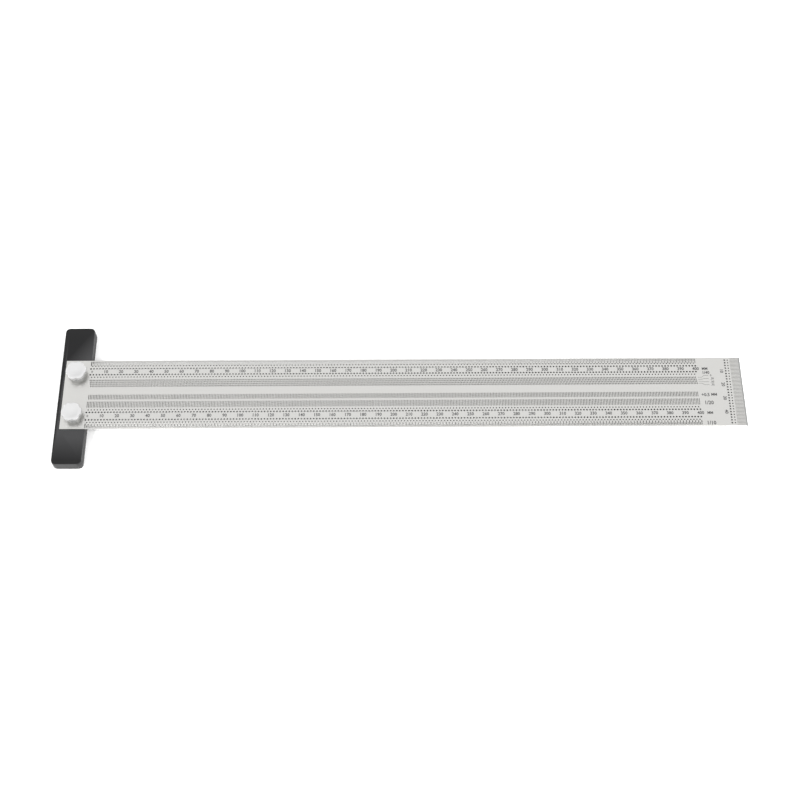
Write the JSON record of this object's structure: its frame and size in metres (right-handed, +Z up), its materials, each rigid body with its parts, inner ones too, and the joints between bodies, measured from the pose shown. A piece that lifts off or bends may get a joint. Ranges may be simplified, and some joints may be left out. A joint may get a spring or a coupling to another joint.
{
  "type": "t square",
  "caption": "Marking T square: perforated steel blade with slot and hole scales, clamped in a recess of a flat head bar by lobed thumb screws.",
  "frame": {"origin": "zero point of the scale: on the head's inner face, on the blade's centre line, at the blade's underside", "axes": "+X along the blade away from the head, +Y across the blade towards its far edge, +Z up from the work through the blade"},
  "size_m": [0.4495, 0.0996, 0.0141],
  "materials": {
    "head_black": "black anodised, satin",
    "blade_steel": "fine brushed stainless, satin",
    "scale_ink": "dark fill in the etched figures",
    "washer_steel": "bright zinc",
    "screw_silver": "satin silver, machined"
  },
  "bodies": {
    "square": {"head": "head_black", "blade": "blade_steel"},
    "far_washer_lift": {"far_washer": "washer_steel"},
    "far_screw": {"far_thumb_screw": "screw_silver"},
    "near_washer_lift": {"near_washer": "washer_steel"},
    "near_screw": {"near_thumb_screw": "screw_silver"}
  },
  "joints": [
    {"name": "far_screw_lift", "type": "slide", "parent": "square", "child": "far_washer_lift", "axis": [0, 0, 1], "range_m": [0, 0.0049]},
    {"name": "far_screw_turn", "type": "hinge", "parent": "far_washer_lift", "child": "far_screw", "pos_m": [-0.0084, 0.015, 0.0015], "axis": [0, 0, 1], "range_deg": [0, 2520]},
    {"name": "near_screw_lift", "type": "slide", "parent": "square", "child": "near_washer_lift", "axis": [0, 0, 1], "range_m": [0, 0.0049]},
    {"name": "near_screw_turn", "type": "hinge", "parent": "near_washer_lift", "child": "near_screw", "pos_m": [-0.0084, -0.015, 0.0015], "axis": [0, 0, 1], "range_deg": [0, 2520]}
  ],
  "couplings": [
    {"joint": "far_screw_turn", "follows": "far_screw_lift", "rad_per_m": 8976},
    {"joint": "near_screw_turn", "follows": "near_screw_lift", "rad_per_m": 8976}
  ]
}
